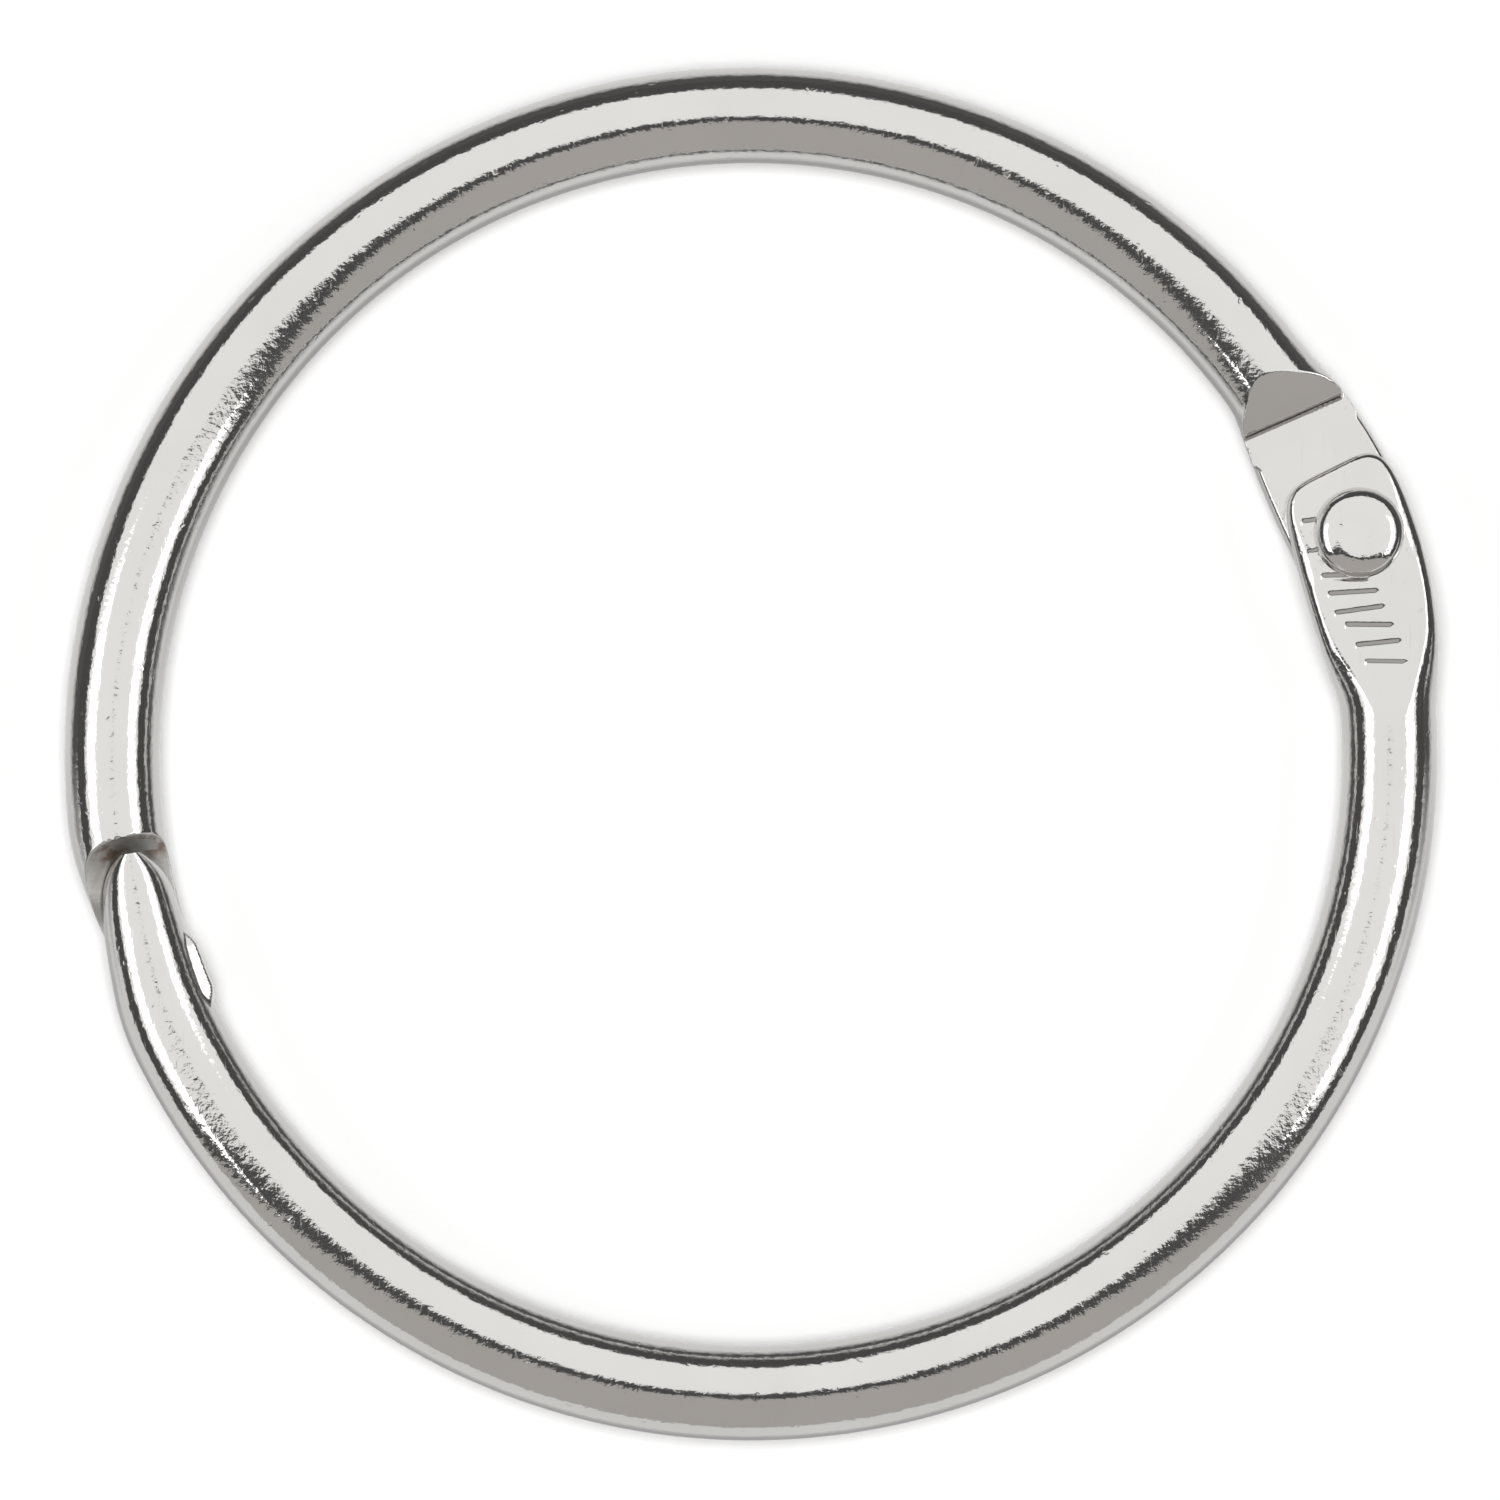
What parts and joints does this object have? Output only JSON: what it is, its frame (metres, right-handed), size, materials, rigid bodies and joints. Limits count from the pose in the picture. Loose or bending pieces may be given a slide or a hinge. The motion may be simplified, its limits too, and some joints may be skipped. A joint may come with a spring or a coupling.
{
  "type": "hinged loose-leaf ring",
  "caption": "Nickel-plated loose-leaf ring of round wire: two half rings that swing on a riveted hinge and snap shut at lapped tips to hold punched sheets, tags or keys.",
  "frame": {"origin": "centre of the closed ring, in the mid-plane of the wire", "axes": "+Z along the ring's axis towards the side with the rivet's head, +X towards the hinge side, +Y towards the half that carries the rivet"},
  "size_m": [0.0591, 0.059, 0.0051],
  "materials": {
    "plated_wire": "bright nickel plate on steel wire, lightly rippled and scratched",
    "plated_rivet": "bright nickel plate on a domed rivet"
  },
  "bodies": {
    "fixed_half": {"fixed_half_ring": "plated_wire", "hinge_rivet": "plated_rivet"},
    "swing_half": {"swing_half_ring": "plated_wire"}
  },
  "joints": [
    {"name": "ring_hinge", "type": "hinge", "parent": "fixed_half", "child": "swing_half", "pos_m": [0.02603, 0.00947, 0], "axis": [0, 0, 1], "range_deg": [0, 150]}
  ]
}
